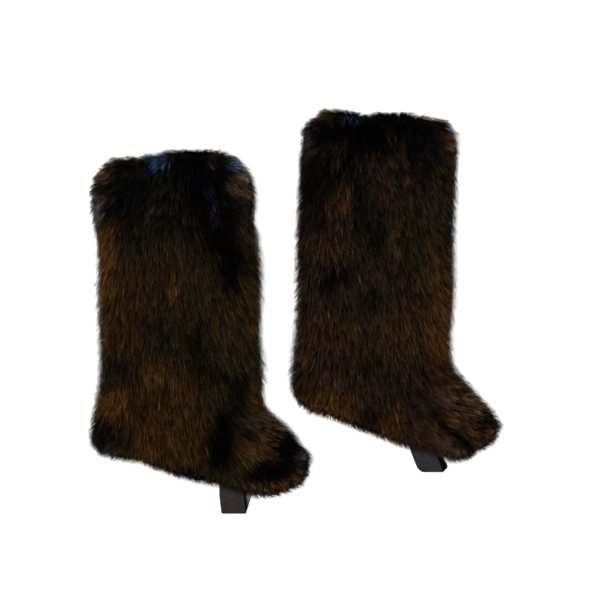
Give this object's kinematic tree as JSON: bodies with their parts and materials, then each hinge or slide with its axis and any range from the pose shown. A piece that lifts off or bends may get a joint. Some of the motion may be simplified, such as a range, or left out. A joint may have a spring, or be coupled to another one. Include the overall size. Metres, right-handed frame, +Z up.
{
  "type": "pair of faux fur leg warmers",
  "caption": "Long pile faux fur leg warmers laid flat side by side, toes to the right, each a two-panel tube gathered at the mouth with an elastic stirrup at the hem.",
  "frame": {"origin": "on the surface that the pair lies on, under the middle of the pair's own box", "axes": "+X from the heels towards the toes, +Y from the hems towards the mouths, +Z up from the surface"},
  "size_m": [0.4696, 0.4622, 0.037],
  "materials": {
    "upper_fur": "long glossy dark brown faux fur with russet and near black patches",
    "under_fur": "the same fur pressed flat under the leg",
    "elastic": "matt grey brown ribbed elastic"
  },
  "bodies": {
    "root": {"left_upper_panel": "upper_fur", "left_under_panel": "under_fur", "left_stirrup": "elastic", "right_upper_panel": "upper_fur", "right_under_panel": "under_fur", "right_stirrup": "elastic"}
  },
  "joints": []
}
